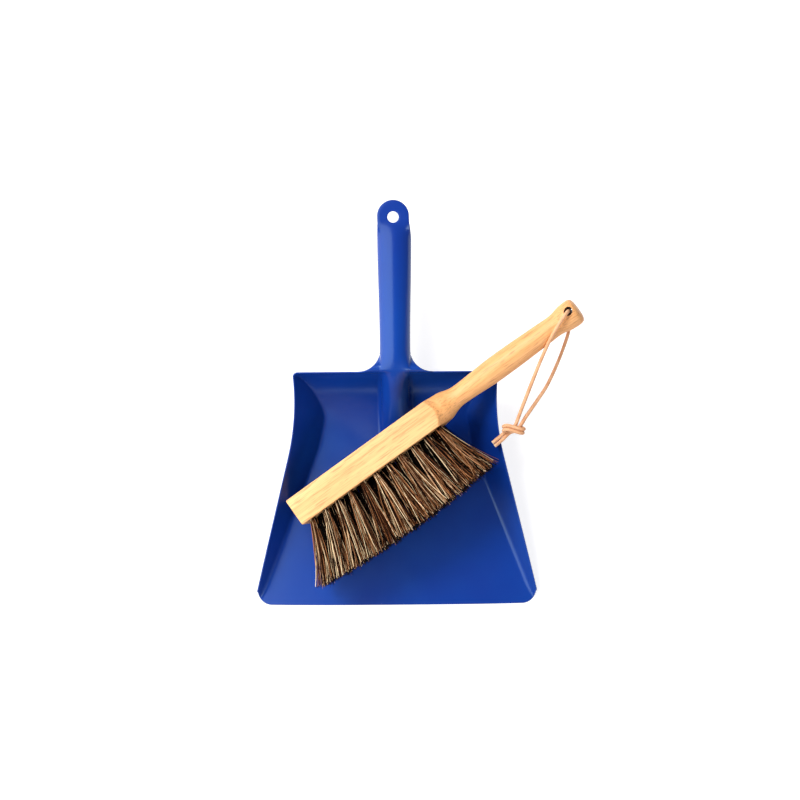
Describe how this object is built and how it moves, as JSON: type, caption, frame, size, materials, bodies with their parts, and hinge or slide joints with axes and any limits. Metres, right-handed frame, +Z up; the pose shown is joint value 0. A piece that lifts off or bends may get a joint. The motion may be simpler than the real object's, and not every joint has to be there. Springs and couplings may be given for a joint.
{
  "type": "dustpan and brush",
  "caption": "Pressed-steel dustpan with a rolled handle, and a wooden hand brush with horsehair tufts and a knotted leather hanging loop lying across it.",
  "frame": {"origin": "on the flat underside of the pan, on its plane of symmetry, 80 mm behind the front edge", "axes": "+Z up, +Y towards the pan's handle, +X to the right when looking along +Y; the pan rests on z = 0"},
  "size_m": [0.2257, 0.2772, 0.0704],
  "materials": {
    "enamel": "gloss coating",
    "beech": "sanded and waxed",
    "horsehair": "natural mixed hair",
    "wire": "drawn wire",
    "leather": "natural round thong"
  },
  "bodies": {
    "dustpan": {"pan_shell": "enamel"},
    "brush": {"brush_stock": "beech", "tuft_upper_01": "horsehair", "tuft_upper_02": "horsehair", "tuft_upper_03": "horsehair", "tuft_upper_04": "horsehair", "tuft_upper_05": "horsehair", "tuft_upper_06": "horsehair", "tuft_upper_07": "horsehair", "tuft_upper_08": "horsehair", "tuft_upper_09": "horsehair", "tuft_upper_10": "horsehair", "tuft_upper_11": "horsehair", "tuft_middle_01": "horsehair", "tuft_middle_02": "horsehair", "tuft_middle_03": "horsehair", "tuft_middle_04": "horsehair", "tuft_middle_05": "horsehair", "tuft_middle_06": "horsehair", "tuft_middle_07": "horsehair", "tuft_middle_08": "horsehair", "tuft_middle_09": "horsehair", "tuft_middle_10": "horsehair", "tuft_lower_01": "horsehair", "tuft_lower_02": "horsehair", "tuft_lower_03": "horsehair", "tuft_lower_04": "horsehair", "tuft_lower_05": "horsehair", "tuft_lower_06": "horsehair", "tuft_lower_07": "horsehair", "tuft_lower_08": "horsehair", "tuft_lower_09": "horsehair", "tuft_lower_10": "horsehair", "tuft_lower_11": "horsehair", "anchor_upper_01": "wire", "anchor_upper_02": "wire", "anchor_upper_03": "wire", "anchor_upper_04": "wire", "anchor_upper_05": "wire", "anchor_upper_06": "wire", "anchor_upper_07": "wire", "anchor_upper_08": "wire", "anchor_upper_09": "wire", "anchor_upper_10": "wire", "anchor_upper_11": "wire", "anchor_lower_01": "wire", "anchor_lower_02": "wire", "anchor_lower_03": "wire", "anchor_lower_04": "wire", "anchor_lower_05": "wire", "anchor_lower_06": "wire", "anchor_lower_07": "wire", "anchor_lower_08": "wire", "anchor_lower_09": "wire", "anchor_lower_10": "wire", "anchor_lower_11": "wire"},
    "hanging_loop": {"thong_loop": "leather", "thong_knot": "leather", "thong_tail_1": "leather", "thong_tail_2": "leather"}
  },
  "joints": [
    {"name": "brush_lift", "type": "slide", "parent": "dustpan", "child": "brush", "axis": [0, 0, 1], "range_m": [0, 0.15]},
    {"name": "loop_swing", "type": "hinge", "parent": "brush", "child": "hanging_loop", "pos_m": [0.11891, 0.12081, 0.05719], "axis": [-0.1734, 0.0047, 0.9848], "range_deg": [0, 240]}
  ]
}
